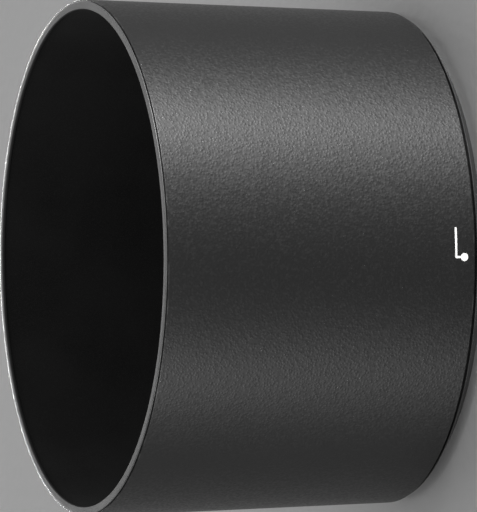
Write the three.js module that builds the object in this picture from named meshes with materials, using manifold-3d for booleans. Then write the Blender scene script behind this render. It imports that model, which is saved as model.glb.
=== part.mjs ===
// A bayonet lens hood standing on its rear face with the front opening up.
// Millimetres, +Z along the optical axis towards the front, origin at the centre of the rear face.
// The index dot is on the -Y side. Every width is built outwards from the throat that fits the lens.
import * as THREE from 'three';
import { mergeVertices, toCreasedNormals } from 'three/addons/utils/BufferGeometryUtils.js';
import Module from 'manifold-3d';

const wasm = await Module();
wasm.setup();

// Overall sizes
const hoodLength = 60.1;
const taperDegrees = 1.75;

// Facet counts and tolerances
const segments = 84;
const screwSides = 14;
const holeSides = 16;
const wedgeSteps = 16;
const rearSteps = 3;
const rimSteps = 4;
const markSteps = 10;
const bladeSteps = 8;
const noseSteps = 6;
const footSteps = 8;
const smoothDegrees = 30;
const mergeDistance = 1e-4;
const cutMargin = 1;

// Clearances
const fitGap = 0.1;
const seatGap = 0.05;

// Throat and bayonet lugs, which grip the lens
const throatRadius = 36;
const throatWall = 1.3;
const throatChamfer = 0.4;
const lugCount = 3;
const lugSpanDegrees = 50;
const lugDepth = 1.4;
const lugThickness = 1.6;
const lugRear = 1;
const lugChamfer = 0.3;
const stopSpanDegrees = 3;
const stopHeight = 2.6;
const stopDepth = 0.9;

// Ring body: base plate, channel for the springs, and the spigot that enters the shell
const baseThickness = 1.8;
const channelWidth = 3.2;
const channelDepth = 4.75;
const spigotWall = 1;
const spigotChamfer = 0.3;

// Rear edge of the ring: a lip behind a groove, and a slope from it to the flat rear face
const grooveWidth = 0.6;
const lipStep = 0.5;
const lipHeight = 0.15;
const rearSlopeDegrees = 34.2;
const rearRound = 0.6;

// Shell
const shellRear = 2.82;
const socketWall = 2.07;
const shellWall = 1;
const stopLedge = 1.5;
const stopLandHeight = 0.3;
const flangeThickness = 1.8;
const flangeChamfer = 0.4;
const shellEdgeChamfer = 0.1;

// Front rim ring
const rimStep = 0.25;
const rimWidth = 1.49;
const rimLipHeight = 0.16;
const rimFaceThickness = 0.45;
const rimInnerRound = 0.36;
const rimOuterChamfer = 0.1;
const seamWidth = 0.15;
const seamDepth = 0.3;
const rimSpigotWall = 0.4;
const rimSpigotLength = 1.6;

// Flocked linings
const liningThickness = 0.35;
const washerThickness = 0.35;
const washerSetback = 0.3;

// Screws that hold the ring to the shell's inner flange
const ringScrewSpreadDegrees = 17;
const ringScrewRadius = 0.95;
const ringScrewLength = 5;
const ringScrewHeadRadius = 1.9;
const ringScrewHeadHeight = 1.2;
const ringScrewDriveWidth = 0.5;
const ringBossWidth = 4.4;
const holeEndGap = 0.4;

// Pan heads, as shares of the head's height and radius
const headEdgeShare = 0.55;
const headCrownShare = 0.9;
const headTopShare = 0.8;
const driveLengthShare = 1.2;

// Click springs: bent steel strips whose noses reach into the throat between the lugs
const springReachDegrees = 21;
const springThickness = 0.3;
const springHeight = 2.4;
const springBottomGap = 0.8;
const springWallGap = 0.6;
const noseProtrusion = 0.7;
const noseRound = 0.5;
const noseHalfWidth = 1.5;
const noseBendDegrees = 60;
const springTail = 1.3;
const footWidth = 2;
const footDrop = 0.1;
const footWallGap = 0.25;
const windowGap = 0.2;
const windowWidth = 4.2;
const anchorWidth = 2.6;
const anchorGap = 0.25;

// Screws that hold the springs
const springScrewRadius = 0.65;
const springScrewLength = 3;
const springScrewHeadRadius = 1.1;
const springScrewHeadHeight = 0.8;
const springScrewDriveWidth = 0.3;

// White index mark: a line round the shell that turns back to a dot
const markLineWidth = 0.38;
const markLength = 5;
const markOffset = 1.55;
const markDotHeight = 4.8;
const markDotRadius = 0.7;
const markThickness = 0.25;

// Sizes worked out from the ones above
const taper = THREE.MathUtils.degToRad(taperDegrees);
const lugInnerRadius = throatRadius - lugDepth;
const apertureRadius = throatRadius - stopLedge;
const channelInner = throatRadius + throatWall;
const channelOuter = channelInner + channelWidth;
const channelMiddle = (channelInner + channelOuter) / 2;
const spigotRadius = channelOuter + spigotWall;
const socketRadius = spigotRadius + fitGap;
const ringTop = baseThickness + channelDepth;
const flangeRear = ringTop + seatGap;
const flangeFront = flangeRear + flangeThickness;
const stopFace = flangeRear - stopLandHeight;
const stopLandRadius = throatRadius - fitGap;
const coneRearRadius = socketRadius + socketWall;
const rearSlope = THREE.MathUtils.degToRad(rearSlopeDegrees);
const lipTop = shellRear - grooveWidth;
const lipRadius = coneRadius(lipTop) - lipStep;
const slopeEndRadius = lipRadius - (lipTop - lipHeight) / Math.tan(rearSlope);
const rearRoundRadius = slopeEndRadius - rearRound * Math.tan(rearSlope / 2);
const shellFront = hoodLength - rimLipHeight - seamWidth;
const rimOuterRadius = coneRadius(hoodLength) - rimStep;
const rimBoreRadius = rimOuterRadius - rimWidth;
const seamFloorRadius = rimOuterRadius - seamDepth;
const rimFaceRear = hoodLength - rimFaceThickness;
const liningTop = rimFaceRear - fitGap;
const liningOuterInset = shellWall + fitGap;
const liningInnerInset = liningOuterInset + liningThickness;
const rimSpigotInner = coneInsetRadius(liningOuterInset, liningTop) + fitGap;
const rimSpigotRadius = rimSpigotInner + rimSpigotWall;
const rimSpigotEnd = shellFront + seatGap - rimSpigotLength;
const rebateRadius = rimSpigotRadius + fitGap;
const rebateEnd = rimSpigotEnd - fitGap;
const springBottom = baseThickness + springBottomGap;
const springTop = springBottom + springHeight;
const footTop = springTop - footDrop;
const footBottom = footTop - springThickness;
const anchorTop = footBottom - fitGap;
const bladeRadius = channelInner + springWallGap + springThickness / 2;
const pivotRadius = channelOuter - footWallGap - footWidth / 2;
const noseTipRadius = throatRadius - noseProtrusion;
const lugPitchDegrees = 360 / lugCount;
const indexDegrees = -90;

// Colours follow the photograph
const shellFinish = { color: 0x2c2c2d, roughness: 0.6, metalness: 0 };
const rimFinish = { color: 0x5c5c5e, roughness: 0.4, metalness: 0 };
const ringFinish = { color: 0x303031, roughness: 0.45, metalness: 0 };
const flockFinish = { color: 0x0c0c0d, roughness: 1, metalness: 0 };
const screwFinish = { color: 0x1d1d1f, roughness: 0.35, metalness: 0.9 };
const springFinish = { color: 0xa9abad, roughness: 0.3, metalness: 1 };
const markFinish = { color: 0xf2f2f0, roughness: 0.5, metalness: 0 };

// Radius of the shell's outer cone at a height
function coneRadius(height) {
  return coneRearRadius + height * Math.tan(taper);
}

// The cone's radius less an inset measured square to it
function coneInsetRadius(inset, height) {
  return coneRadius(height) - inset / Math.cos(taper);
}

// Turns a closed three.js geometry into a solid that can be cut and joined
function solidOf(geometry) {
  const bare = geometry.clone();
  bare.deleteAttribute('normal');
  bare.deleteAttribute('uv');
  const merged = mergeVertices(bare, mergeDistance);
  const corners = merged.index.array;
  const kept = [];
  for (let i = 0; i < corners.length; i += 3) {
    const [a, b, c] = [corners[i], corners[i + 1], corners[i + 2]];
    const isFlat = a === b || b === c || c === a;
    if (!isFlat) kept.push(a, b, c);
  }
  const vertProperties = merged.attributes.position.array;
  const triVerts = new Uint32Array(kept);
  return new wasm.Manifold(new wasm.Mesh({ numProp: 3, vertProperties, triVerts }));
}

// Turns a solid back into a geometry with smooth normals up to sharp edges
function geometryOf(solid) {
  const mesh = solid.getMesh();
  const geometry = new THREE.BufferGeometry();
  geometry.setAttribute('position', new THREE.BufferAttribute(new Float32Array(mesh.vertProperties), 3));
  geometry.setIndex(new THREE.BufferAttribute(new Uint32Array(mesh.triVerts), 1));
  return toCreasedNormals(geometry, THREE.MathUtils.degToRad(smoothDegrees));
}

function joined(solids) {
  return solids.reduce((whole, piece) => whole.add(piece));
}

// A solid of revolution about Z from [radius, height] points, listed with the material on their left
function turned(points, steps = segments) {
  const closed = points.map(([radius, height]) => new THREE.Vector2(radius, height));
  const isOnAxis = points[0][0] === 0;
  if (!isOnAxis) closed.push(closed[0].clone());
  return solidOf(new THREE.LatheGeometry(closed, steps).rotateX(Math.PI / 2));
}

// Points on an arc in the profile plane, from one angle to another, in degrees
function arcPoints(centre, radius, fromDegrees, toDegrees, steps) {
  const points = [];
  for (let i = 0; i <= steps; i += 1) {
    const angle = THREE.MathUtils.degToRad(fromDegrees + ((toDegrees - fromDegrees) * i) / steps);
    points.push([centre[0] + radius * Math.cos(angle), centre[1] + radius * Math.sin(angle)]);
  }
  return points;
}

// Turns a geometry about Z, for what sits round the ring
function turnedBy(geometry, degrees) {
  return geometry.rotateZ(THREE.MathUtils.degToRad(degrees));
}

// A block from one radius to another, centred on +X, between two heights
function radialBlock(fromRadius, toRadius, width, bottom, top) {
  const block = new THREE.BoxGeometry(toRadius - fromRadius, width, top - bottom);
  return block.translate((fromRadius + toRadius) / 2, 0, (bottom + top) / 2);
}

function uprightCylinder(radius, bottom, top, steps) {
  const cylinder = new THREE.CylinderGeometry(radius, radius, top - bottom, steps);
  return cylinder.rotateX(Math.PI / 2).translate(0, 0, (bottom + top) / 2);
}

// A wedge about the axis, centred on a direction, for cutting a sector out of a ring
function wedge(centreDegrees, spanDegrees, radius, bottom, top) {
  const half = THREE.MathUtils.degToRad(spanDegrees / 2);
  const outline = new THREE.Shape();
  outline.moveTo(0, 0);
  outline.lineTo(radius * Math.cos(half), -radius * Math.sin(half));
  outline.absarc(0, 0, radius, -half, half, false);
  outline.closePath();
  const settings = { depth: top - bottom, bevelEnabled: false, curveSegments: wedgeSteps };
  const body = new THREE.ExtrudeGeometry(outline, settings);
  return solidOf(turnedBy(body.translate(0, 0, bottom), centreDegrees));
}

// Directions round the ring
const lugDirections = [];
for (let i = 0; i < lugCount; i += 1) {
  lugDirections.push(indexDegrees + i * lugPitchDegrees);
}
const springDirections = lugDirections.map((direction) => direction + lugPitchDegrees / 2);
const screwDirections = lugDirections.flatMap((direction) => [
  direction - ringScrewSpreadDegrees,
  direction + ringScrewSpreadDegrees,
]);

// The index mark seen square on: a line, a short return and a dot, widened by a margin, as a tall prism
function markPrism(margin) {
  const half = markLineWidth / 2 + margin;
  const lineHeight = markDotHeight + markOffset;
  const line = new THREE.Shape();
  line.moveTo(0, lineHeight - half);
  line.lineTo(markLength, lineHeight - half);
  line.absarc(markLength, lineHeight, half, -Math.PI / 2, Math.PI / 2, false);
  line.lineTo(0, lineHeight + half);
  line.absarc(0, lineHeight, half, Math.PI / 2, Math.PI * 1.5, false);
  const back = new THREE.Shape();
  back.moveTo(-half, markDotHeight);
  back.lineTo(half, markDotHeight);
  back.lineTo(half, lineHeight);
  back.lineTo(-half, lineHeight);
  back.closePath();
  const dot = new THREE.Shape();
  dot.absarc(0, markDotHeight, markDotRadius + margin, 0, Math.PI * 2, false);
  const depth = 4 * socketWall;
  const settings = { depth, bevelEnabled: false, curveSegments: markSteps };
  const prisms = [line, back, dot].map((outline) => {
    const prism = new THREE.ExtrudeGeometry(outline, settings);
    return solidOf(prism.rotateX(Math.PI / 2).translate(0, depth / 2 - coneRearRadius, 0));
  });
  return joined(prisms);
}

// The outside of the hood as a full body, at an inset from the surface, round the index mark's heights
function outerCore(inset) {
  const top = markDotHeight + 2 * markOffset;
  const bottom = shellRear;
  const [rear, front] = [bottom, top].map((height) => [coneInsetRadius(inset, height), height]);
  return turned([[0, bottom], rear, front, [0, top]]);
}

// Textured outer shell with the socket for the ring and the inner flange, whose raised land inside
// the throat stops the lens
function barrelShell() {
  const body = turned([
    [socketRadius, shellRear],
    [coneRadius(shellRear) - shellEdgeChamfer, shellRear],
    [coneRadius(shellRear + shellEdgeChamfer), shellRear + shellEdgeChamfer],
    [coneRadius(shellFront - shellEdgeChamfer), shellFront - shellEdgeChamfer],
    [coneRadius(shellFront) - shellEdgeChamfer, shellFront],
    [rebateRadius, shellFront],
    [rebateRadius, rebateEnd],
    [coneInsetRadius(shellWall, rebateEnd), rebateEnd],
    [coneInsetRadius(shellWall, flangeFront), flangeFront],
    [apertureRadius + flangeChamfer, flangeFront],
    [apertureRadius, flangeFront - flangeChamfer],
    [apertureRadius, stopFace],
    [stopLandRadius, stopFace],
    [stopLandRadius, flangeRear],
    [socketRadius, flangeRear],
  ]);
  const holeRadius = ringScrewRadius + 2 * fitGap;
  const holes = screwDirections.map((direction) => {
    const hole = uprightCylinder(holeRadius, flangeRear - cutMargin, flangeFront + cutMargin, holeSides);
    return solidOf(turnedBy(hole.translate(channelMiddle, 0, 0), direction));
  });
  const recess = markPrism(seatGap).subtract(outerCore(markThickness + seatGap));
  return body.subtract(joined(holes)).subtract(recess);
}

// White inlay in the engraved index mark
function indexMark() {
  return markPrism(0).intersect(outerCore(0)).subtract(outerCore(markThickness));
}

// Smooth ring that closes the front edge of the shell; its face reaches in over the lining's edge
function frontRimRing() {
  const innerCentre = [rimBoreRadius + rimInnerRound, hoodLength - rimInnerRound];
  const inner = arcPoints(innerCentre, rimInnerRound, 90, 180, rimSteps);
  return turned([
    [rimSpigotRadius, rimSpigotEnd],
    [rimSpigotRadius, shellFront + seatGap],
    [seamFloorRadius, shellFront + seatGap],
    [seamFloorRadius, hoodLength - rimLipHeight],
    [rimOuterRadius, hoodLength - rimLipHeight],
    [rimOuterRadius, hoodLength - rimOuterChamfer],
    [rimOuterRadius - rimOuterChamfer, hoodLength],
    ...inner,
    [rimBoreRadius, rimFaceRear],
    [rimSpigotInner, rimFaceRear],
    [rimSpigotInner, rimSpigotEnd],
  ]);
}

// Flocked sleeve on the inside of the shell, up behind the rim's face
function barrelLining() {
  const bottom = flangeFront + seatGap;
  return turned([
    [coneInsetRadius(liningInnerInset, bottom), bottom],
    [coneInsetRadius(liningOuterInset, bottom), bottom],
    [coneInsetRadius(liningOuterInset, liningTop), liningTop],
    [coneInsetRadius(liningInnerInset, liningTop), liningTop],
  ]);
}

// Flocked washer on the inner flange, with holes round the screw heads
function flangeLining() {
  const bottom = flangeFront + seatGap;
  const top = bottom + washerThickness;
  const outer = coneInsetRadius(liningInnerInset, bottom) - fitGap;
  const inner = apertureRadius + flangeChamfer + washerSetback;
  const washer = turned([[inner, bottom], [outer, bottom], [outer, top], [inner, top]]);
  const holeRadius = ringScrewHeadRadius + 2 * fitGap;
  const holes = screwDirections.map((direction) => {
    const hole = uprightCylinder(holeRadius, bottom - cutMargin, top + cutMargin, holeSides);
    return solidOf(turnedBy(hole.translate(channelMiddle, 0, 0), direction));
  });
  return washer.subtract(joined(holes));
}

// The three lugs that pass behind the lens flange, each with a stop at its end
function bayonetLugs() {
  const root = throatRadius + throatWall / 2;
  const front = lugRear + lugThickness;
  const ring = turned([
    [lugInnerRadius, lugRear + lugChamfer],
    [lugInnerRadius + lugChamfer, lugRear],
    [root, lugRear],
    [root, front],
    [lugInnerRadius + lugChamfer, front],
    [lugInnerRadius, front - lugChamfer],
  ]);
  const stopRing = turned([
    [throatRadius - stopDepth, front - lugChamfer],
    [root, front - lugChamfer],
    [root, front + stopHeight],
    [throatRadius - stopDepth, front + stopHeight],
  ]);
  const reach = throatRadius + 2 * throatWall;
  const pieces = lugDirections.flatMap((direction) => {
    const stopDirection = direction + (lugSpanDegrees - stopSpanDegrees) / 2;
    return [
      ring.intersect(wedge(direction, lugSpanDegrees, reach, 0, ringTop)),
      stopRing.intersect(wedge(stopDirection, stopSpanDegrees, reach, 0, ringTop)),
    ];
  });
  return joined(pieces);
}

// The turned body of the ring, with the lip, the slope, the flat rear face and the channel
function ringBody() {
  const round = arcPoints([rearRoundRadius, rearRound], rearRound, -90, rearSlopeDegrees - 90, rearSteps);
  return turned([
    [throatRadius + throatChamfer, 0],
    ...round,
    [lipRadius, lipTop - lipHeight],
    [lipRadius, lipTop],
    [spigotRadius, lipTop],
    [spigotRadius, ringTop - spigotChamfer],
    [spigotRadius - spigotChamfer, ringTop],
    [channelOuter, ringTop],
    [channelOuter, baseThickness],
    [channelInner, baseThickness],
    [channelInner, ringTop],
    [throatRadius, ringTop],
    [throatRadius, throatChamfer],
  ]);
}

// Rear ring: grips the lens, carries the springs and closes the shell
function bayonetRing() {
  const wallShare = throatWall / 2;
  const bossInner = channelInner - wallShare;
  const bossOuter = channelOuter + wallShare;
  const bosses = screwDirections.map((direction) => {
    const block = radialBlock(bossInner, bossOuter, ringBossWidth, lugRear, ringTop);
    return solidOf(turnedBy(block, direction));
  });
  const bossHoles = screwDirections.map((direction) => {
    const bottom = flangeFront + seatGap - ringScrewLength - holeEndGap;
    const hole = uprightCylinder(ringScrewRadius + fitGap, bottom, ringTop + cutMargin, holeSides);
    return solidOf(turnedBy(hole.translate(channelMiddle, 0, 0), direction));
  });
  const anchorInner = bladeRadius + springThickness / 2 + anchorGap;
  const anchors = springDirections.map((direction) => {
    const block = radialBlock(anchorInner, channelOuter + wallShare, anchorWidth, lugRear, anchorTop);
    return solidOf(turnedBy(block, direction - springReachDegrees));
  });
  const anchorHoles = springDirections.map((direction) => {
    const bottom = footTop + seatGap - springScrewLength - holeEndGap;
    const hole = uprightCylinder(springScrewRadius + fitGap, bottom, ringTop, holeSides);
    return solidOf(turnedBy(hole.translate(pivotRadius, 0, 0), direction - springReachDegrees));
  });
  const windows = springDirections.map((direction) => {
    const bottom = springBottom - windowGap;
    const top = springTop + windowGap;
    const block = radialBlock(lugInnerRadius, channelMiddle, windowWidth, bottom, top);
    return solidOf(turnedBy(block, direction));
  });
  const whole = joined([ringBody(), bayonetLugs(), ...bosses, ...anchors]);
  return whole.subtract(joined([...bossHoles, ...anchorHoles, ...windows]));
}

// The outline of a bent strip of even thickness that follows a line of points
function stripOutline(points, thickness) {
  const sideAt = (index, side) => {
    const before = points[Math.max(index - 1, 0)];
    const after = points[Math.min(index + 1, points.length - 1)];
    const along = after.clone().sub(before).normalize();
    const across = new THREE.Vector2(-along.y, along.x).multiplyScalar((side * thickness) / 2);
    return points[index].clone().add(across);
  };
  const left = points.map((_, index) => sideAt(index, 1));
  const right = points.map((_, index) => sideAt(index, -1));
  return new THREE.Shape([...left, ...right.reverse()]);
}

// The centre line of a click spring's blade, with its nose on +X
function springLine() {
  const onBlade = (degrees) => {
    const angle = THREE.MathUtils.degToRad(degrees);
    return new THREE.Vector2(bladeRadius * Math.cos(angle), bladeRadius * Math.sin(angle));
  };
  const degreesFor = (width) => THREE.MathUtils.radToDeg(width / bladeRadius);
  const start = -springReachDegrees - degreesFor(footWidth / 2);
  const noseStart = -degreesFor(noseHalfWidth);
  const line = [];
  for (let i = 0; i <= bladeSteps; i += 1) {
    line.push(onBlade(start + ((noseStart - start) * i) / bladeSteps));
  }
  const tip = [noseTipRadius + springThickness / 2 + noseRound, 0];
  const bend = arcPoints(tip, noseRound, noseBendDegrees - 180, -noseBendDegrees - 180, noseSteps);
  bend.forEach(([x, y]) => line.push(new THREE.Vector2(x, y)));
  line.push(onBlade(-noseStart));
  line.push(onBlade(-noseStart + degreesFor(springTail)));
  return line;
}

// Leaf spring with an upright blade, a V nose and a flat foot that its screw holds
function clickSpring() {
  const blade = new THREE.ExtrudeGeometry(stripOutline(springLine(), springThickness), {
    depth: springHeight,
    bevelEnabled: false,
  });
  const outline = new THREE.Shape();
  outline.moveTo(bladeRadius, -footWidth / 2);
  outline.lineTo(pivotRadius, -footWidth / 2);
  outline.absarc(pivotRadius, 0, footWidth / 2, -Math.PI / 2, Math.PI / 2, false);
  outline.lineTo(bladeRadius, footWidth / 2);
  outline.closePath();
  const hole = new THREE.Path();
  hole.absarc(pivotRadius, 0, springScrewRadius + fitGap, 0, Math.PI * 2, true);
  outline.holes.push(hole);
  const settings = { depth: springThickness, bevelEnabled: false, curveSegments: footSteps };
  const foot = new THREE.ExtrudeGeometry(outline, settings);
  turnedBy(foot.translate(0, 0, footBottom), -springReachDegrees);
  return solidOf(blade.translate(0, 0, springBottom)).add(solidOf(foot));
}

// A pan-head screw with a cross drive, its head's underside at height 0 and its shank below
function crossScrew(shankRadius, length, headRadius, headHeight, driveWidth) {
  const point = shankRadius / 3;
  const body = turned([
    [0, -length],
    [shankRadius - point, -length],
    [shankRadius, point - length],
    [shankRadius, 0],
    [headRadius, 0],
    [headRadius, headHeight * headEdgeShare],
    [headRadius * headTopShare, headHeight * headCrownShare],
    [0, headHeight],
  ], screwSides);
  const drive = new THREE.BoxGeometry(headRadius * driveLengthShare, driveWidth, headHeight);
  const across = drive.clone().rotateZ(Math.PI / 2);
  const slots = [drive, across].map((slot) => solidOf(slot.translate(0, 0, headHeight)));
  return body.subtract(joined(slots));
}

const hood = new THREE.Group();
hood.name = 'lens_hood';

function addPart(name, solid, finish, parent = hood) {
  const mesh = new THREE.Mesh(geometryOf(solid), new THREE.MeshStandardMaterial(finish));
  mesh.name = name;
  parent.add(mesh);
  return mesh;
}

// A group turned to a direction round the axis, for a piece drawn on +X
function station(degrees) {
  const group = new THREE.Group();
  group.rotation.z = THREE.MathUtils.degToRad(degrees);
  hood.add(group);
  return group;
}

addPart('barrel_shell', barrelShell(), shellFinish);
addPart('front_rim_ring', frontRimRing(), rimFinish);
addPart('barrel_lining', barrelLining(), flockFinish);
addPart('flange_lining', flangeLining(), flockFinish);
addPart('bayonet_ring', bayonetRing(), ringFinish);
addPart('index_mark', indexMark(), markFinish);

screwDirections.forEach((direction, index) => {
  const solid = crossScrew(
    ringScrewRadius,
    ringScrewLength,
    ringScrewHeadRadius,
    ringScrewHeadHeight,
    ringScrewDriveWidth,
  );
  const screw = addPart(`ring_screw_${index + 1}`, solid, screwFinish, station(direction));
  screw.position.set(channelMiddle, 0, flangeFront + seatGap);
});

springDirections.forEach((direction, index) => {
  addPart(`click_spring_${index + 1}`, clickSpring(), springFinish, station(direction));
  const solid = crossScrew(
    springScrewRadius,
    springScrewLength,
    springScrewHeadRadius,
    springScrewHeadHeight,
    springScrewDriveWidth,
  );
  const screwStation = station(direction - springReachDegrees);
  const screw = addPart(`spring_screw_${index + 1}`, solid, screwFinish, screwStation);
  screw.position.set(pivotRadius, 0, footTop + seatGap);
});

export default hood;
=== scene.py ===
import math

import bmesh
import bpy
from mathutils import Matrix, Vector


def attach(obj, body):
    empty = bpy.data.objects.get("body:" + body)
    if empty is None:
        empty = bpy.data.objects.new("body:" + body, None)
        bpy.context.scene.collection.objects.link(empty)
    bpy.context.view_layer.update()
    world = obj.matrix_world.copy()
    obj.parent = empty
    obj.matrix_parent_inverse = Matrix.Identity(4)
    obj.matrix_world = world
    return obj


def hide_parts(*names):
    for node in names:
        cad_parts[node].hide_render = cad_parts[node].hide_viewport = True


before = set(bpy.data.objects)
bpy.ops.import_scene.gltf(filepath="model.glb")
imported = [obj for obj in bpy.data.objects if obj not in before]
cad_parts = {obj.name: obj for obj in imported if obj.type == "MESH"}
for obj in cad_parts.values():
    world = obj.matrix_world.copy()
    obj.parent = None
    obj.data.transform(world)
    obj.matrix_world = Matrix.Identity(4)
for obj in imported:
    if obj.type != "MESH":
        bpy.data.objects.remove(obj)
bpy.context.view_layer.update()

MM = 0.001
TURN = 2 * math.pi

# Shell
LENGTH = 60.1
TAPER = math.radians(1.75)
CONE_REAR = 43.67
SOCKET = 41.6
SHELL_WALL = 1.0
SHELL_REAR = 2.82
SHELL_EDGE = 0.18

# Rear edge of the ring, behind the groove
GROOVE_WIDTH = 0.6
LIP_TOP = SHELL_REAR - GROOVE_WIDTH
LIP_STEP = 0.5
LIP_HEIGHT = 0.15
LIP_BEVEL = 0.1
REAR_SLOPE = math.radians(34.2)
REAR_ROUND = 0.6


def cone(height, inset=0.0):
    """Radius of the outer cone at a height, less an inset measured square to it."""
    return CONE_REAR + height * math.tan(TAPER) - inset / math.cos(TAPER)


# Rim and linings
FIT_GAP = 0.1
SEAT_GAP = 0.05
LINING_THICKNESS = 0.35
LINING_OUTER_INSET = SHELL_WALL + FIT_GAP
LINING_INNER_INSET = LINING_OUTER_INSET + LINING_THICKNESS
LINING_JOINT_DEGREES = 0.16
LINING_BEVEL = 0.06
RIM_LIP = 0.16
RIM_FACE = 0.45
RIM_STEP = 0.25
RIM_WIDTH = 1.49
RIM_OUTER = cone(LENGTH) - RIM_STEP
RIM_BORE = RIM_OUTER - RIM_WIDTH
RIM_FACE_REAR = LENGTH - RIM_FACE
SEAM_WIDTH = 0.15
SEAM_DEPTH = 0.3
SEAM_FLOOR = RIM_OUTER - SEAM_DEPTH
SHELL_FRONT = LENGTH - RIM_LIP - SEAM_WIDTH
LINING_TOP = RIM_FACE_REAR - FIT_GAP
RIM_SEAT = SHELL_FRONT + SEAT_GAP
RIM_SPIGOT_WALL = 0.4
RIM_SPIGOT_LENGTH = 1.6
RIM_SPIGOT_INNER = cone(LINING_TOP, LINING_OUTER_INSET) + FIT_GAP
RIM_SPIGOT_OUTER = RIM_SPIGOT_INNER + RIM_SPIGOT_WALL
RIM_SPIGOT_END = RIM_SEAT - RIM_SPIGOT_LENGTH
REBATE = RIM_SPIGOT_OUTER + FIT_GAP
REBATE_END = RIM_SPIGOT_END - FIT_GAP

# Inner flange, its holes and the washer on it
APERTURE = 34.5
FLANGE_REAR = 6.6
FLANGE_FRONT = 8.4
FLANGE_HOLE = 1.15
STOP_FACE = 6.3
STOP_LAND = 35.9
LINING_BOTTOM = FLANGE_FRONT + SEAT_GAP
WASHER_INNER = 35.2
WASHER_OUTER = cone(LINING_BOTTOM, LINING_INNER_INSET) - FIT_GAP
WASHER_TOP = LINING_BOTTOM + LINING_THICKNESS
WASHER_HOLE = 2.1

# Lens ring, whose lugs, stops, bosses and anchors start inside its walls
THROAT = 36.0
CHANNEL_INNER = 37.3
CHANNEL_OUTER = 40.5
CHANNEL_MIDDLE = (CHANNEL_INNER + CHANNEL_OUTER) / 2
CHANNEL_FLOOR = 1.8
RING_SPIGOT = 41.5
RING_TOP = 6.55
LUG_INNER = 34.6
LUG_ROOT = 36.62
LUG_REAR = 1.0
LUG_FRONT = 2.6
LUG_SPAN = 50
LUG_BEVEL = 0.28
STOP_INNER = 35.1
STOP_ROOT = 36.6
STOP_SINK = 0.4
STOP_TOP = 5.2
STOP_SPAN = 3
STOP_BEVEL = 0.2
BOSS_INNER = 36.7
BOSS_OUTER = 41.15
BOSS_WIDTH = 4.4
BOSS_BOTTOM = 1.0
BOSS_TOP = RING_TOP - 0.02
BOSS_HOLE = 1.05
BOSS_HOLE_BOTTOM = 3.05

# Springs, their anchors and the windows for their noses
BLADE = 38.05
SPRING_THICKNESS = 0.3
SPRING_BOTTOM = 2.6
SPRING_TOP = 5.0
SPRING_ROUND = 0.1
SPRING_REACH = 21
NOSE_TIP = 35.3
NOSE_ROUND = 0.5
NOSE_HALF_WIDTH = 1.5
NOSE_BEND = 0.45
SPRING_TAIL = 1.3
FOOT_WIDTH = 2.0
FOOT_BOTTOM = 4.6
FOOT_TOP = 4.9
FOOT_BEVEL = 0.06
PIVOT = 39.25
PIVOT_HOLE = 0.75
PIVOT_HOLE_BOTTOM = 1.55
ANCHOR_INNER = 38.45
ANCHOR_TOP = 4.5
ANCHOR_WIDTH = 2.6
WINDOW_INNER = 34.2
WINDOW_WIDTH = 4.2
WINDOW_BOTTOM = 2.4
WINDOW_TOP = 5.2
WINDOW_BEVEL = 0.35

# Index mark, drawn square on, with its paint just under the surface of the cut
MARK_HALF_LINE = 0.19
MARK_LENGTH = 5.0
MARK_DOT_HEIGHT = 4.8
MARK_DOT_RADIUS = 0.7
MARK_LINE_HEIGHT = 6.35
MARK_GAP = 0.03
MARK_DEPTH = 0.32
PAINT_TOP = 0.01
PAINT_FLOOR = 0.25
MARK_REACH = 6
CORE_INNER = 1.0
CORE_TOP = 9.0

# Screws by the size of shank, head and drive, and what both sizes share
RING_SCREW = {"shank": 0.95, "length": 5.0, "head": 1.9, "height": 1.2, "drive": 0.5, "pitch": 0.4}
SPRING_SCREW = {"shank": 0.65, "length": 3.0, "head": 1.1, "height": 0.8, "drive": 0.3, "pitch": 0.3}
HEAD_EDGE_SHARE = 0.35
HEAD_ROUND = 0.12
NECK_ROUND = 0.08
THREAD_DEPTH_SHARE = 0.32
THREAD_START = 0.25
THREAD_END = 0.1
THREAD_MARGIN = 0.3
THREAD_ROWS = 10
LEAD_TURNS = 1.5
LEAD_SHARE = 0.25
TIP_SHARE = 0.62
TIP_END_SHARE = 0.55
TIP_CHAMFER = 0.03
DRIVE_REACH_SHARE = 0.6
DRIVE_FLOOR_SHARE = 0.42
DRIVE_TAPER = 0.55
DRIVE_CLEAR = 0.3
DRIVE_TURN = 3.7

LUG_DIRECTIONS = (-90, 30, 150)
SPRING_DIRECTIONS = (-30, 90, 210)
SCREW_DIRECTIONS = (-107, -73, 13, 47, 133, 167)

# Meshes. Tools stand out of what they cut by CLEAR
SHARP_ANGLE = math.radians(32)
BEVEL_ANGLE = math.radians(40)
BEVEL_SEGMENTS = 3
WELD = 1e-7
OUTSIDE_STEPS = 720
INSIDE_STEPS = 480
STEPS_PER_DEGREE = 1.5
BLADE_STEPS = 60
TAIL_STEPS = 4
CLEAR = 1.0


def new_piece(name, points, faces):
    """A piece from points in millimetres, with outward normals, smooth up to its sharp edges."""
    mesh = bpy.data.meshes.new(name)
    mesh.from_pydata([tuple(c * MM for c in p) for p in points], [], faces)
    work = bmesh.new()
    work.from_mesh(mesh)
    bmesh.ops.remove_doubles(work, verts=work.verts, dist=WELD)
    bmesh.ops.recalc_face_normals(work, faces=work.faces)
    work.to_mesh(mesh)
    work.free()
    piece = bpy.data.objects.new(name, mesh)
    bpy.context.scene.collection.objects.link(piece)
    smooth(piece)
    return piece


def smooth(piece):
    """Smooth shading, with the sharp edges kept."""
    piece.data.shade_smooth()
    piece.data.set_sharp_from_angle(angle=SHARP_ANGLE)


def apply_modifiers(piece):
    """Puts the modifiers' result in place of a piece's mesh."""
    depsgraph = bpy.context.evaluated_depsgraph_get()
    made = bpy.data.meshes.new_from_object(piece.evaluated_get(depsgraph))
    piece.modifiers.clear()
    old = piece.data
    piece.data = made
    bpy.data.meshes.remove(old)
    made.name = piece.name


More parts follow.
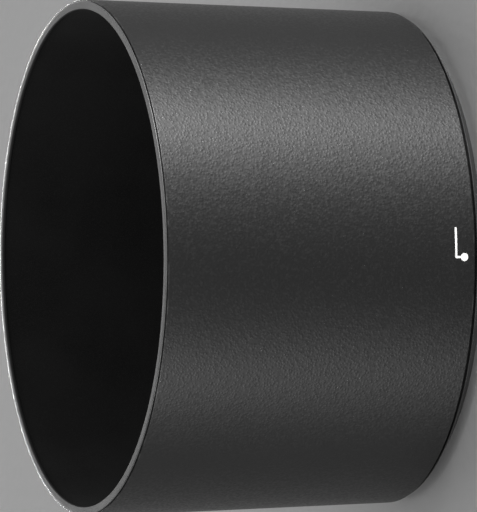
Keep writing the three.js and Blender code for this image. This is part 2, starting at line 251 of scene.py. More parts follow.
def boolean(piece, tool, operation):
    """Cuts, joins or intersects a piece with a tool, and removes the tool."""
    modifier = piece.modifiers.new("boolean", "BOOLEAN")
    modifier.operation = operation
    modifier.solver = "EXACT"
    modifier.object = tool
    apply_modifiers(piece)
    bpy.data.objects.remove(tool)
    smooth(piece)


def bevelled(piece, width):
    """The piece with its edges rounded to a width."""
    modifier = piece.modifiers.new("bevel", "BEVEL")
    modifier.width = width * MM
    modifier.segments = BEVEL_SEGMENTS
    modifier.limit_method = "ANGLE"
    modifier.angle_limit = BEVEL_ANGLE
    apply_modifiers(piece)
    smooth(piece)
    return piece


def merged(name, pieces):
    """Several separate bodies as one mesh, for a tool that cuts in one go."""
    points, faces = [], []
    for piece in pieces:
        start = len(points)
        points += [tuple(c / MM for c in v.co) for v in piece.data.vertices]
        faces += [[start + i for i in f.vertices] for f in piece.data.polygons]
        bpy.data.objects.remove(piece)
    return new_piece(name, points, faces)


def turn(piece, degrees):
    """The piece turned about the hood's axis."""
    piece.data.transform(Matrix.Rotation(math.radians(degrees), 4, "Z"))
    return piece


def arc(centre, radius, start, end, steps):
    """Points on an arc, with its angles in degrees."""
    points = []
    for i in range(steps + 1):
        angle = math.radians(start + (end - start) * i / steps)
        points.append((centre[0] + radius * math.cos(angle), centre[1] + radius * math.sin(angle)))
    return points


def disc(centre, radius, steps=48):
    """The outline of a disc."""
    return arc(centre, radius, 0, 360, steps)[:-1]


def rounded(corners, steps=5):
    """A closed outline from (x, y) or (x, y, radius) corners, with a round on each that has a radius."""
    outline = []
    count = len(corners)
    for i, corner in enumerate(corners):
        here = Vector(corner[:2])
        radius = corner[2] if len(corner) > 2 else 0
        if radius == 0:
            outline.append(tuple(here))
            continue
        back = (Vector(corners[i - 1][:2]) - here).normalized()
        on = (Vector(corners[(i + 1) % count][:2]) - here).normalized()
        half = back.angle(on) / 2
        reach = radius / math.tan(half)
        centre = here + (back + on).normalized() * radius / math.sin(half)
        first = here + back * reach - centre
        last = here + on * reach - centre
        swing = first.angle_signed(last)
        for k in range(steps + 1):
            spoke = first.copy()
            spoke.rotate(Matrix.Rotation(-swing * k / steps, 2))
            outline.append(tuple(centre + spoke))
    return outline


def revolve(name, outline, steps, start=0.0, span=360.0):
    """A closed (radius, height) outline turned about Z, all the way or over a span with flat ends."""
    whole = span == 360.0
    rows = steps if whole else steps + 1
    count = len(outline)
    points = []
    for i in range(rows):
        angle = math.radians(start + span * i / steps)
        points += [(r * math.cos(angle), r * math.sin(angle), z) for r, z in outline]
    faces = []
    for i in range(steps):
        here, after = i * count, ((i + 1) % rows) * count
        for k in range(count):
            n = (k + 1) % count
            faces.append((here + k, after + k, after + n, here + n))
    if not whole:
        faces += [tuple(range(count)), tuple(range((rows - 1) * count, rows * count))]
    return new_piece(name, points, faces)


def loft(name, first, first_height, second, second_height):
    """A solid between two flat outlines with as many points, each at its own height."""
    count = len(first)
    points = [(x, y, first_height) for x, y in first] + [(x, y, second_height) for x, y in second]
    sides = [(k, (k + 1) % count, count + (k + 1) % count, count + k) for k in range(count)]
    return new_piece(name, points, [tuple(range(count)), tuple(range(count, 2 * count)), *sides])


def prism(name, outline, bottom, top):
    """A flat outline raised from one height to another."""
    return loft(name, outline, bottom, outline, top)


def block(name, low, high):
    """A box between two corners."""
    outline = [(low[0], low[1]), (high[0], low[1]), (high[0], high[1]), (low[0], high[1])]
    return prism(name, outline, low[2], high[2])


def hole(radius, hole_radius, bottom, top, direction, steps=48):
    """A round tool that stands at a radius in a direction, to cut a hole."""
    return turn(prism("hole", disc((radius, 0), hole_radius, steps), bottom, top), direction)


# Shell

def mark_prism(margin):
    """The index mark's line, return and dot as a tall block through the shell's wall on the -Y side."""
    half = MARK_HALF_LINE + margin
    line = arc((MARK_LENGTH, MARK_LINE_HEIGHT), half, -90, 90, 24)
    line += arc((0, MARK_LINE_HEIGHT), half, 90, 270, 24)
    back = [
        (-half, MARK_DOT_HEIGHT), (half, MARK_DOT_HEIGHT),
        (half, MARK_LINE_HEIGHT), (-half, MARK_LINE_HEIGHT),
    ]
    dot = disc((0, MARK_DOT_HEIGHT), MARK_DOT_RADIUS + margin, 96)
    parts = [prism("mark_part", outline, -MARK_REACH, MARK_REACH) for outline in (line, back, dot)]
    whole = parts[0]
    boolean(whole, parts[1], "UNION")
    boolean(whole, parts[2], "UNION")
    whole.data.transform(Matrix.Rotation(math.radians(90), 4, "X"))
    whole.data.transform(Matrix.Translation((0, -CONE_REAR * MM, 0)))
    return whole


def outer_core(inset):
    """The outside of the hood at an inset, as a full body round the mark's heights."""
    outline = [
        (CORE_INNER, SHELL_REAR), (cone(SHELL_REAR, inset), SHELL_REAR),
        (cone(CORE_TOP, inset), CORE_TOP), (CORE_INNER, CORE_TOP),
    ]
    return revolve("core", outline, OUTSIDE_STEPS)


# In every outline, the third value of a corner is the radius of its round
shell = revolve("shell_body", rounded([
    (SOCKET, SHELL_REAR, 0.08),
    (cone(SHELL_REAR), SHELL_REAR, SHELL_EDGE),
    (cone(SHELL_FRONT), SHELL_FRONT, 0.14),
    (REBATE, SHELL_FRONT, 0.06),
    (REBATE, REBATE_END),
    (cone(REBATE_END, SHELL_WALL), REBATE_END),
    (cone(FLANGE_FRONT, SHELL_WALL), FLANGE_FRONT, 0.4),
    (APERTURE, FLANGE_FRONT, 0.5),
    (APERTURE, STOP_FACE, 0.15),
    (STOP_LAND, STOP_FACE, 0.1),
    (STOP_LAND, FLANGE_REAR),
    (SOCKET, FLANGE_REAR, 0.2),
]), OUTSIDE_STEPS)
recess = mark_prism(MARK_GAP)
boolean(recess, outer_core(MARK_DEPTH), "DIFFERENCE")
boolean(shell, recess, "DIFFERENCE")
boolean(shell, merged("holes", [
    hole(CHANNEL_MIDDLE, FLANGE_HOLE, FLANGE_REAR - CLEAR, FLANGE_FRONT + CLEAR, direction)
    for direction in SCREW_DIRECTIONS
]), "DIFFERENCE")

mark = mark_prism(0)
boolean(mark, outer_core(PAINT_TOP), "INTERSECT")
boolean(mark, outer_core(PAINT_FLOOR), "DIFFERENCE")
mark.name = "paint_mark"

# Front rim

rim = revolve("rim_ring", rounded([
    (RIM_SPIGOT_OUTER, RIM_SPIGOT_END, 0.08),
    (RIM_SPIGOT_OUTER, RIM_SEAT),
    (SEAM_FLOOR, RIM_SEAT),
    (SEAM_FLOOR, LENGTH - RIM_LIP, 0.03),
    (RIM_OUTER, LENGTH - RIM_LIP, 0.04),
    (RIM_OUTER, LENGTH, 0.11),
    (RIM_BORE, LENGTH, 0.22),
    (RIM_BORE, RIM_FACE_REAR, 0.05),
    (RIM_SPIGOT_INNER, RIM_FACE_REAR),
    (RIM_SPIGOT_INNER, RIM_SPIGOT_END, 0.08),
], steps=6), OUTSIDE_STEPS)

# Flocked linings

lining = bevelled(revolve("lining_sleeve", rounded([
    (cone(LINING_BOTTOM, LINING_INNER_INSET), LINING_BOTTOM, 0.1),
    (cone(LINING_BOTTOM, LINING_OUTER_INSET), LINING_BOTTOM),
    (cone(LINING_TOP, LINING_OUTER_INSET), LINING_TOP),
    (cone(LINING_TOP, LINING_INNER_INSET), LINING_TOP, 0.12),
]), INSIDE_STEPS, -90 + LINING_JOINT_DEGREES / 2, 360 - LINING_JOINT_DEGREES), LINING_BEVEL)

washer = revolve("lining_washer", rounded([
    (WASHER_INNER, LINING_BOTTOM),
    (WASHER_OUTER, LINING_BOTTOM),
    (WASHER_OUTER, WASHER_TOP, 0.1),
    (WASHER_INNER, WASHER_TOP, 0.1),
]), INSIDE_STEPS)
boolean(washer, merged("holes", [
    hole(CHANNEL_MIDDLE, WASHER_HOLE, LINING_BOTTOM - CLEAR, WASHER_TOP + CLEAR, direction, 64)
    for direction in SCREW_DIRECTIONS
]), "DIFFERENCE")

# Lens ring

def sector(name, inner, outer, bottom, top, direction, span, bevel):
    """A bevelled block that follows the ring over a span of degrees."""
    outline = [(inner, bottom), (outer, bottom), (outer, top), (inner, top)]
    steps = max(6, round(span * STEPS_PER_DEGREE))
    return bevelled(revolve(name, outline, steps, direction - span / 2, span), bevel)


def ring_body():
    """The ring itself, with its sloped rear edge, throat and channel."""
    lip = cone(LIP_TOP) - LIP_STEP
    edge = lip + (LIP_HEIGHT - LIP_BEVEL) / math.tan(REAR_SLOPE)
    return revolve("lens_ring", rounded([
        (THROAT, 0, 0.4),
        (lip - (LIP_TOP - LIP_HEIGHT) / math.tan(REAR_SLOPE), 0, REAR_ROUND),
        (edge, LIP_TOP - LIP_BEVEL, 0.03),
        (edge - LIP_BEVEL, LIP_TOP, 0.03),
        (RING_SPIGOT, LIP_TOP),
        (RING_SPIGOT, RING_TOP, 0.3),
        (CHANNEL_OUTER, RING_TOP, 0.08),
        (CHANNEL_OUTER, CHANNEL_FLOOR, 0.3),
        (CHANNEL_INNER, CHANNEL_FLOOR, 0.3),
        (CHANNEL_INNER, RING_TOP, 0.1),
        (THROAT, RING_TOP, 0.1),
    ]), INSIDE_STEPS)


def ring_adds():
    """The lugs, the bosses for the ring's screws and the anchors for the springs, as one tool."""
    adds = [
        sector("lug", LUG_INNER, LUG_ROOT, LUG_REAR, LUG_FRONT, direction, LUG_SPAN, LUG_BEVEL)
        for direction in LUG_DIRECTIONS
    ]
    for direction in SCREW_DIRECTIONS:
        low = (BOSS_INNER, -BOSS_WIDTH / 2, BOSS_BOTTOM)
        high = (BOSS_OUTER, BOSS_WIDTH / 2, BOSS_TOP)
        adds.append(turn(block("boss", low, high), direction))
    for direction in SPRING_DIRECTIONS:
        low = (ANCHOR_INNER, -ANCHOR_WIDTH / 2, BOSS_BOTTOM)
        high = (BOSS_OUTER, ANCHOR_WIDTH / 2, ANCHOR_TOP)
        adds.append(turn(block("anchor", low, high), direction - SPRING_REACH))
    return merged("adds", adds)


def ring_stops():
    """The stop at the end of each lug, as one tool."""
    return merged("stops", [
        sector("stop", STOP_INNER, STOP_ROOT, LUG_FRONT - STOP_SINK, STOP_TOP,
               direction + (LUG_SPAN - STOP_SPAN) / 2, STOP_SPAN, STOP_BEVEL)
        for direction in LUG_DIRECTIONS
    ])


def ring_cuts():
    """The screw holes and the windows for the springs' noses, as one tool."""
    cuts = [
        hole(CHANNEL_MIDDLE, BOSS_HOLE, BOSS_HOLE_BOTTOM, RING_TOP + CLEAR, direction)
        for direction in SCREW_DIRECTIONS
    ]
    for direction in SPRING_DIRECTIONS:
        cuts.append(hole(PIVOT, PIVOT_HOLE, PIVOT_HOLE_BOTTOM, RING_TOP, direction - SPRING_REACH))
        low = (WINDOW_INNER, -WINDOW_WIDTH / 2, WINDOW_BOTTOM)
        high = (CHANNEL_MIDDLE, WINDOW_WIDTH / 2, WINDOW_TOP)
        cuts.append(turn(bevelled(block("window", low, high), WINDOW_BEVEL), direction))
    return merged("cuts", cuts)


ring = ring_body()
boolean(ring, ring_adds(), "UNION")
boolean(ring, ring_stops(), "UNION")
boolean(ring, ring_cuts(), "DIFFERENCE")

# Click springs

def bend(before, corner, after):
    """A round in place of a corner of an open line."""
    return rounded([before, (*corner, NOSE_BEND), after], 8)[1:-1]


def strip_line():
    """The middle line of a spring's blade in the plane of the ring, with its nose on +X."""
    def on_blade(angle):
        return (BLADE * math.cos(angle), BLADE * math.sin(angle))
    start = -math.radians(SPRING_REACH) - FOOT_WIDTH / 2 / BLADE
    nose_start = -NOSE_HALF_WIDTH / BLADE
    line = [on_blade(start + (nose_start - start) * i / BLADE_STEPS) for i in range(BLADE_STEPS)]
    tip = (NOSE_TIP + SPRING_THICKNESS / 2 + NOSE_ROUND, 0)
    nose = arc(tip, NOSE_ROUND, -120, -240, 20)
    tail = [on_blade(-nose_start + SPRING_TAIL / BLADE * (i + 1) / TAIL_STEPS) for i in range(TAIL_STEPS)]
    bend_in = bend(line[-1], on_blade(nose_start), nose[0])
    bend_out = bend(nose[-1], on_blade(-nose_start), tail[0])
    return [*line[:-1], *bend_in, *nose, *bend_out, *tail[1:]]


def sweep(name, line, section):
    """A section of (across, height) points carried along a line in the plane of the ring."""
    rows = []
    for i, here in enumerate(line):
        before, after = Vector(line[max(i - 1, 0)]), Vector(line[min(i + 1, len(line) - 1)])
        along = (after - before).normalized()
        across = Vector((-along.y, along.x))
        rows.append([(here[0] + across.x * a, here[1] + across.y * a, z) for a, z in section])
    count = len(section)
    points = [p for row in rows for p in row]
    faces = [tuple(range(count)), tuple(range((len(rows) - 1) * count, len(rows) * count))]
    for i in range(len(rows) - 1):
        for k in range(count):
            n = (k + 1) % count
            faces.append((i * count + k, i * count + n, (i + 1) * count + n, (i + 1) * count + k))
    return new_piece(name, points, faces)


def click_spring(number, direction):
    """A leaf with a rounded nose, and a foot folded over for its screw."""
    half = SPRING_THICKNESS / 2
    section = rounded([
        (-half, SPRING_BOTTOM, SPRING_ROUND), (half, SPRING_BOTTOM, SPRING_ROUND),
        (half, SPRING_TOP, SPRING_ROUND), (-half, SPRING_TOP, SPRING_ROUND),
    ], 4)
    spring = sweep(f"leaf_spring_{number}", strip_line(), section)
    end = arc((PIVOT, 0), FOOT_WIDTH / 2, -90, 90, 32)
    outline = [(BLADE, -FOOT_WIDTH / 2), *end, (BLADE, FOOT_WIDTH / 2)]
    foot = bevelled(prism("foot", outline, FOOT_BOTTOM, FOOT_TOP), FOOT_BEVEL)
    boolean(foot, hole(PIVOT, PIVOT_HOLE, FOOT_BOTTOM - CLEAR, FOOT_TOP + CLEAR, 0), "DIFFERENCE")
    boolean(spring, turn(foot, -SPRING_REACH), "UNION")
    return turn(spring, direction)


springs = [click_spring(i + 1, direction) for i, direction in enumerate(SPRING_DIRECTIONS)]

# Screws

def cross_tool(arm, width, top, bottom):
    """A cross that narrows downwards, for the drive of a screw. Its arms narrow half as much as it does."""
    def cross(scale):
        a, w = arm * scale, width / 2 * (0.5 + scale / 2)
        return [
            (a, -w), (a, w), (w, w), (w, a), (-w, a), (-w, w),
            (-a, w), (-a, -w), (-w, -w), (-w, -a), (w, -a), (w, -w),
        ]
    return loft("cross", cross(1), top, cross(DRIVE_TAPER), bottom)


def head_profile(shank, head, height):
    """A pan head from the middle of its top to its shank, with its underside at height 0."""
    edge = height * HEAD_EDGE_SHARE
    dome = arc((0, 0), 1, 0, 84, 10)
    profile = [(0.0, height)]
    profile += [(head * c, edge + (height - edge) * s) for c, s in reversed(dome)]
    profile += [(head, HEAD_ROUND), (head - HEAD_ROUND / 4, HEAD_ROUND / 4), (head - HEAD_ROUND, 0.0)]
    return [*profile, (shank + NECK_ROUND, 0.0), (shank, -NECK_ROUND)]


def thread_rows(shank, length, pitch):
    """Rows of (radius, height, thread depth) down a shank, with the thread faded at both ends."""
    depth = pitch * THREAD_DEPTH_SHARE
    count = int((length - THREAD_MARGIN) / pitch * THREAD_ROWS)
    rows = []
    for i in range(count + 1):
        z = -THREAD_START - (length - THREAD_START - THREAD_END) * i / count
        fade = min(1.0, i / THREAD_ROWS, (count - i) / THREAD_ROWS)
        lead = max(0.0, 1 - (count - i) / (LEAD_TURNS * THREAD_ROWS)) * LEAD_SHARE * shank
        rows.append((shank - lead, z, depth * fade))
    return rows


def pan_screw(name, at, direction, shank, length, head, height, drive, pitch):
    """A pan-head screw with a real helical thread and a cross drive, standing at a radius and height."""
    rows = [(r, z, 0.0) for r, z in head_profile(shank, head, height)]
    rows += thread_rows(shank, length, pitch)
    rows += [(shank * TIP_SHARE, TIP_CHAMFER - length, 0.0), (shank * TIP_END_SHARE, -length, 0.0)]
    rows.append((0.0, -length, 0.0))
    steps = 48
    points = []
    for r, z, ridge in rows:
        for j in range(steps):
            angle = TURN * j / steps
            wave = abs(((z / pitch + j / steps) % 1.0) * 2 - 1)
            radius = r - ridge * wave
            points.append((radius * math.cos(angle), radius * math.sin(angle), z))
    faces = []
    for i in range(len(rows) - 1):
        for j in range(steps):
            n = (j + 1) % steps
            faces.append((i * steps + j, (i + 1) * steps + j, (i + 1) * steps + n, i * steps + n))
    screw = new_piece(name, points, faces)
    tool = cross_tool(head * DRIVE_REACH_SHARE, drive, height + DRIVE_CLEAR, height * DRIVE_FLOOR_SHARE)
    boolean(screw, turn(tool, direction * DRIVE_TURN), "DIFFERENCE")
    screw.data.transform(Matrix.Translation((at[0] * MM, 0, at[1] * MM)))
    return turn(screw, direction)


ring_screws = [
    pan_screw(f"pan_screw_{i + 1}", (CHANNEL_MIDDLE, LINING_BOTTOM), direction, **RING_SCREW)
    for i, direction in enumerate(SCREW_DIRECTIONS)
]
spring_screws = [
    pan_screw(f"small_screw_{i + 1}", (PIVOT, FOOT_TOP + SEAT_GAP), direction - SPRING_REACH, **SPRING_SCREW)
    for i, direction in enumerate(SPRING_DIRECTIONS)
]


# Materials

class Nodes:
    """Short calls for building a material's node tree. Lengths are in millimetres."""

    def __init__(self, name):
        self.material = bpy.data.materials.new(name)
        self.material.use_nodes = True
        self.tree = self.material.node_tree
        self.shader = self.tree.nodes["Principled BSDF"]
        self.place = self.add("ShaderNodeTexCoord").outputs["Object"]

    def add(self, kind, inputs=None, **settings):
        """A node with its settings, whose inputs are set or linked."""
        node = self.tree.nodes.new(kind)
        for key, value in settings.items():
            setattr(node, key, value)
        for key, value in (inputs or {}).items():
            if isinstance(value, bpy.types.NodeSocket):
                self.tree.links.new(value, node.inputs[key])
            else:
                node.inputs[key].default_value = value
        return node

    def noise(self, grain, detail=2.0, roughness=0.5, place=None, distortion=0.0):
        """Noise from 0 to 1 whose blobs are about grain millimetres across."""
        inputs = {"Vector": place or self.place, "Scale": 1 / (grain * MM), "Detail": detail,
                  "Roughness": roughness, "Distortion": distortion}
        return self.add("ShaderNodeTexNoise", inputs).outputs["Fac"]

    def cells(self, grain):
        """Distance to the nearest of scattered points, grain millimetres apart."""
        inputs = {"Vector": self.place, "Scale": 1 / (grain * MM), "Randomness": 1.0}
        return self.add("ShaderNodeTexVoronoi", inputs).outputs["Distance"]

    def remap(self, value, low, high, to_low=0.0, to_high=1.0):
        """A range of values eased into another range."""
        inputs = {"Value": value, "From Min": low, "From Max": high, "To Min": to_low, "To Max": to_high}
        return self.add("ShaderNodeMapRange", inputs, interpolation_type="SMOOTHSTEP").outputs["Result"]

    def math(self, operation, first, second):
        return self.add("ShaderNodeMath", {0: first, 1: second}, operation=operation).outputs[0]

    def colour(self, amount, low, high):
        """A blend between two colours by an amount."""
        node = self.add("ShaderNodeMix", data_type="RGBA")
        self.tree.links.new(amount, node.inputs["Factor"])
        sockets = [s for s in node.inputs if s.type == "RGBA"]
        for socket, value in zip(sockets, (low, high)):
            if isinstance(value, bpy.types.NodeSocket):
                self.tree.links.new(value, socket)
            else:
                socket.default_value = (*value, 1)
        return [s for s in node.outputs if s.type == "RGBA"][0]

    def spread(self, noise, low, high):
        """A colour that follows noise from one colour to another."""
        return self.colour(self.remap(noise, 0.3, 0.7), low, high)

    def bump(self, height, depth):
        """A bump whose full height is depth millimetres."""
        inputs = {"Height": height, "Distance": depth * MM, "Strength": 1.0}
        return self.add("ShaderNodeBump", inputs).outputs["Normal"]

    def height_band(self, low, high, fade):
        """1 between two heights of the part, 0 outside, with a fade."""
        z = self.add("ShaderNodeSeparateXYZ", {0: self.place}).outputs["Z"]
        up = self.remap(z, (low - fade) * MM, low * MM)
        down = self.remap(z, high * MM, (high + fade) * MM, 1.0, 0.0)
        return self.math("MULTIPLY", up, down)

    def worn(self, base, where, share, paler):
        """A colour rubbed paler by a share, where both masks are up."""
        mask = self.math("MULTIPLY", *where)
        return self.colour(self.math("MULTIPLY", mask, share), base, paler)

    def finish(self, colour, roughness, normal, **sockets):
        """Links the colour, roughness and normal, and sets the rest on the shader's own sockets."""
        for key, value in (("Base Color", colour), ("Roughness", roughness), ("Normal", normal)):
            self.tree.links.new(value, self.shader.inputs[key])
        for key, value in sockets.items():
            self.shader.inputs[key.replace("_", " ")].default_value = value
        return self.material


def grey(value, tint=0.0):
    """A grey, bluer by its tint."""
    return (value, value * (1 + tint / 2), value * (1 + tint))


def shell_plastic():
    """Moulded black plastic with a fine stipple, rubbed a little at both ends of the barrel."""
    n = Nodes("stippled_plastic")
    domes = n.remap(n.cells(0.5), 0.0, 0.65, 1.0, 0.0)
    stipple = n.math("ADD", n.math("MULTIPLY", domes, 0.85), n.noise(0.8))
    grit = n.noise(0.5)
    base = n.spread(n.noise(9.0), grey(0.001, 0.03), grey(0.0015, 0.03))
    speck = n.colour(n.remap(grit, 0.45, 0.7), base, grey(0.005, 0.02))
    front = n.height_band(SHELL_FRONT - 0.15, SHELL_FRONT, 0.12)
    rear = n.height_band(SHELL_REAR, SHELL_REAR + 0.15, 0.12)
    rubbed = n.remap(n.noise(2.2, 3.0, 0.6), 0.45, 0.7)
    colour = n.worn(speck, (n.math("MAXIMUM", front, rear), rubbed), 0.5, grey(0.05))
    rough = n.remap(grit, 0.3, 0.7, 0.49, 0.35)
    return n.finish(colour, rough, n.bump(stipple, 0.016), Specular_IOR_Level=0.5)


def rim_satin():
    """The rim's smooth satin black, rubbed at its front edges."""
    n = Nodes("rim_satin")
    grain = n.noise(0.12, 3.0, 0.6)
    drift = n.noise(7.0)
    rubbed = n.remap(n.noise(1.1, 3.0, 0.6), 0.5, 0.75)
    front = n.height_band(LENGTH - 0.1, LENGTH, 0.05)
    colour = n.worn(n.spread(drift, grey(0.054), grey(0.066)), (front, rubbed), 0.4, grey(0.1))
    rough = n.remap(n.math("ADD", grain, drift), 0.5, 1.5, 0.4, 0.5)
    return n.finish(colour, rough, n.bump(grain, 0.002), Specular_IOR_Level=0.6)


def ring_satin():
    """The lens ring's smooth satin black, rubbed at its rear face."""
    n = Nodes("ring_satin")
    grain = n.noise(0.15, 3.0, 0.6)
    drift = n.noise(8.0)
    rubbed = n.remap(n.noise(1.6, 3.0, 0.6), 0.5, 0.72)
    rear = n.height_band(-0.1, 0.15, 0.2)
    colour = n.worn(n.spread(drift, grey(0.016), grey(0.022)), (rear, rubbed), 0.5, grey(0.06))
    rough = n.remap(n.math("ADD", grain, drift), 0.5, 1.5, 0.46, 0.58)
    return n.finish(colour, rough, n.bump(grain, 0.003), Specular_IOR_Level=0.55)


def flock():
    """Black flock, with paler tips and tufts that lean together."""
    n = Nodes("flock")
    fibres = n.noise(0.13, 4.0, 0.7, distortion=0.6)
    height = n.math("ADD", fibres, n.math("MULTIPLY", n.noise(0.9), 0.5))
    base = n.spread(n.noise(14.0), grey(0.028), grey(0.039))
    colour = n.colour(n.remap(fibres, 0.45, 0.75), base, grey(0.075))
    rough = n.remap(fibres, 0.3, 0.7, 0.9, 1.0)
    return n.finish(colour, rough, n.bump(height, 0.06), Specular_IOR_Level=0.1,
                    Sheen_Weight=0.08, Sheen_Roughness=0.5)


def screw_steel():
    """Black-oxide steel with worn patches."""
    n = Nodes("black_oxide")
    grain = n.noise(0.08, 3.0, 0.6)
    base = n.colour(n.remap(n.noise(0.9), 0.35, 0.65), grey(0.05, 0.04), grey(0.085, 0.03))
    rubbed = n.remap(n.noise(0.5, 3.0, 0.6), 0.58, 0.7)
    colour = n.colour(n.math("MULTIPLY", rubbed, 0.35), base, grey(0.22))
    rough = n.remap(grain, 0.3, 0.7, 0.28, 0.42)
    return n.finish(colour, rough, n.bump(grain, 0.002), Metallic=0.9)


def spring_steel():
    """Bright spring steel with rolling lines along the blade and faint straw stains."""
    n = Nodes("rolled_steel")
    squeezed = n.add("ShaderNodeVectorMath", {0: n.place, 1: (1.0, 1.0, 12.0)}, operation="MULTIPLY")
    lines = n.noise(1.2, 4.0, 0.7, place=squeezed.outputs[0])
    base = n.colour(n.remap(lines, 0.35, 0.65), grey(0.46, 0.02), grey(0.62, 0.01))
    stains = n.math("MULTIPLY", n.remap(n.noise(1.5), 0.55, 0.75), 0.4)
    colour = n.colour(stains, base, (0.4, 0.36, 0.31))
    rough = n.remap(lines, 0.3, 0.7, 0.22, 0.36)
    return n.finish(colour, rough, n.bump(lines, 0.003), Metallic=1.0)


def mark_paint():
    """White paint with an uneven surface."""
    n = Nodes("mark_paint")
    grain = n.noise(0.1, 3.0, 0.6)
    colour = n.spread(n.noise(0.8), (0.52, 0.52, 0.51), (0.56, 0.56, 0.55))
    rough = n.remap(grain, 0.3, 0.7, 0.42, 0.55)
    return n.finish(colour, rough, n.bump(grain, 0.003))


def even_normals(piece):
    """Lets large faces keep their own slope, with the shading change in the small ones between them."""
    modifier = piece.modifiers.new("weighted", "WEIGHTED_NORMAL")
    modifier.mode = "FACE_AREA"
    modifier.weight = 50
    modifier.keep_sharp = True
    apply_modifiers(piece)


def dress(piece, made, body, node):
    """Gives a piece its material and slot and the body that it rides on, and hides the CAD node it stands
    for.
    """
    even_normals(piece)
    piece.data.materials.clear()
    piece.data.materials.append(made)
    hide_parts(node)
    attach(piece, body)


dress(shell, shell_plastic(), "hood", "barrel_shell")
dress(rim, rim_satin(), "hood", "front_rim_ring")
flock_material = flock()
dress(lining, flock_material, "hood", "barrel_lining")
dress(washer, flock_material, "hood", "flange_lining")
dress(ring, ring_satin(), "hood", "bayonet_ring")
dress(mark, mark_paint(), "hood", "index_mark")
screw_material = screw_steel()
for i, screw in enumerate(ring_screws):
    dress(screw, screw_material, "hood", f"ring_screw_{i + 1}")
for i, screw in enumerate(spring_screws):
    dress(screw, screw_material, "hood", f"spring_screw_{i + 1}")
spring_material = spring_steel()
for i, spring in enumerate(springs):
    dress(spring, spring_material, f"click_{i + 1}", f"click_spring_{i + 1}")


# Floor
FLOOR_RADIUS = 4000
FLOOR_DEPTH = 20


def floor_material():
    """Pale paper."""
    n = Nodes("floor_paper")
    colour = n.spread(n.noise(120.0, 3.0), grey(0.69), grey(0.71))
    grain = n.noise(2.0)
    rough = n.remap(grain, 0.3, 0.7, 0.85, 0.95)
    return n.finish(colour, rough, n.bump(grain, 0.02), Specular_IOR_Level=0.2)


floor = prism("floor", disc((0, 0), FLOOR_RADIUS, 96), -FLOOR_DEPTH, 0)
floor.data.materials.append(floor_material())

# Lamps, in metres, degrees and watts. The strips stand level with the hood, to keep out of its barrel
STRIP_DISTANCE = 4.0
STRIP_HEIGHT = 0.056
PANEL_DISTANCE = 1.6
AIM = Vector((0, 0, 0.03))


def softbox(name, azimuth, elevation, distance, width, height, power):
    """An area light at an azimuth from -Y towards +X, an elevation and a distance, facing the hood."""
    a, e = math.radians(azimuth), math.radians(elevation)
    back = Vector((math.sin(a) * math.cos(e), -math.cos(a) * math.cos(e), math.sin(e)))
    right = Vector((math.cos(a), math.sin(a), 0))
    up = back.cross(right)
    light = bpy.data.lights.new(name, "AREA")
    light.shape = "RECTANGLE"
    light.size = width
    light.size_y = height
    light.energy = power
    lamp = bpy.data.objects.new(name, light)
    bpy.context.scene.collection.objects.link(lamp)
    facing = Matrix((right, up, back)).transposed().to_4x4()
    lamp.matrix_world = Matrix.Translation(AIM + back * distance) @ facing
    lamp.visible_camera = False


softbox("key_strip", 58.5, 0, STRIP_DISTANCE, 0.85, STRIP_HEIGHT, 432)
softbox("fill_strip", -52.5, 0, STRIP_DISTANCE, 0.8, STRIP_HEIGHT, 118)
softbox("rear_strip", 180, 0, STRIP_DISTANCE, 1.4, STRIP_HEIGHT, 220)
softbox("back_panel", 180, 21, PANEL_DISTANCE, 0.9, 0.7, 2.7)
softbox("top_panel", 0, 88, PANEL_DISTANCE, 1.2, 1.2, 2)


# World, with a pale backdrop for the camera and for reflections
WORLD_STRENGTH = 0.3
BACKDROP_STRENGTH = 0.34


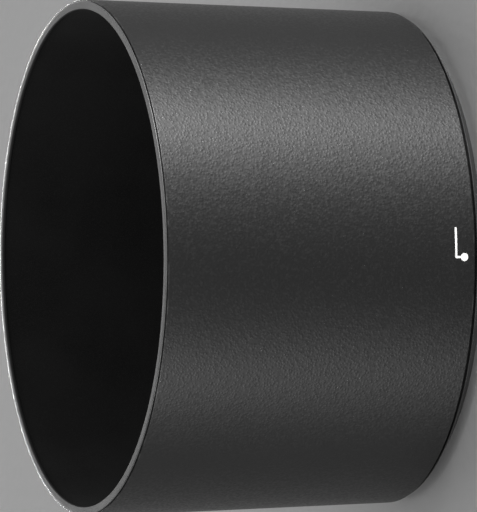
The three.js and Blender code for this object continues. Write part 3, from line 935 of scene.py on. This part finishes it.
def studio_world():
    world = bpy.data.worlds.new("studio")
    world.use_nodes = True
    nodes, links = world.node_tree.nodes, world.node_tree.links
    background = nodes["Background"]
    background.inputs["Color"].default_value = (1, 1, 1, 1)
    background.inputs["Strength"].default_value = WORLD_STRENGTH
    paths = nodes.new("ShaderNodeLightPath")
    backdrop = nodes.new("ShaderNodeBackground")
    backdrop.inputs["Strength"].default_value = BACKDROP_STRENGTH
    seen = paths.outputs["Is Camera Ray"]
    for name in ("Is Glossy Ray", "Is Transmission Ray"):
        either = nodes.new("ShaderNodeMath")
        either.operation = "MAXIMUM"
        links.new(seen, either.inputs[0])
        links.new(paths.outputs[name], either.inputs[1])
        seen = either.outputs[0]
    mixed = nodes.new("ShaderNodeMixShader")
    links.new(seen, mixed.inputs[0])
    links.new(background.outputs[0], mixed.inputs[1])
    links.new(backdrop.outputs[0], mixed.inputs[2])
    links.new(mixed.outputs[0], nodes["World Output"].inputs["Surface"])
    return world


bpy.context.scene.world = studio_world()

# Camera, fitted to the photograph. The hood's axis lies level in the picture, with +X up.
# FRONT_IN_VIEW is where the middle of the front opening lies, in metres right, up and away.
VIEW_ELEVATION = math.radians(19.99)
ROLL = math.radians(0.165)
FRONT_IN_VIEW = (-0.02780, 0.000368, 1.4075)
SENSOR_WIDTH = 36
FOCAL_LENGTH = 562.5


def photo_camera():
    forward = Vector((0, math.cos(VIEW_ELEVATION), -math.sin(VIEW_ELEVATION)))
    roll = Matrix.Rotation(ROLL, 3, forward)
    right = roll @ Vector((0, -math.sin(VIEW_ELEVATION), -math.cos(VIEW_ELEVATION)))
    up = roll @ Vector((1, 0, 0))
    data = bpy.data.cameras.new("camera")
    data.sensor_width = SENSOR_WIDTH
    data.lens = FOCAL_LENGTH
    data.clip_start = 0.05
    data.clip_end = 20
    camera = bpy.data.objects.new("camera", data)
    bpy.context.scene.collection.objects.link(camera)
    across, above, away = FRONT_IN_VIEW
    spot = Vector((0, 0, LENGTH * MM)) - right * across + up * above - forward * away
    facing = Matrix((right, up, -forward)).transposed().to_4x4()
    camera.matrix_world = Matrix.Translation(spot) @ facing
    return camera


bpy.context.scene.camera = photo_camera()
bpy.context.scene.view_settings.view_transform = "Standard"
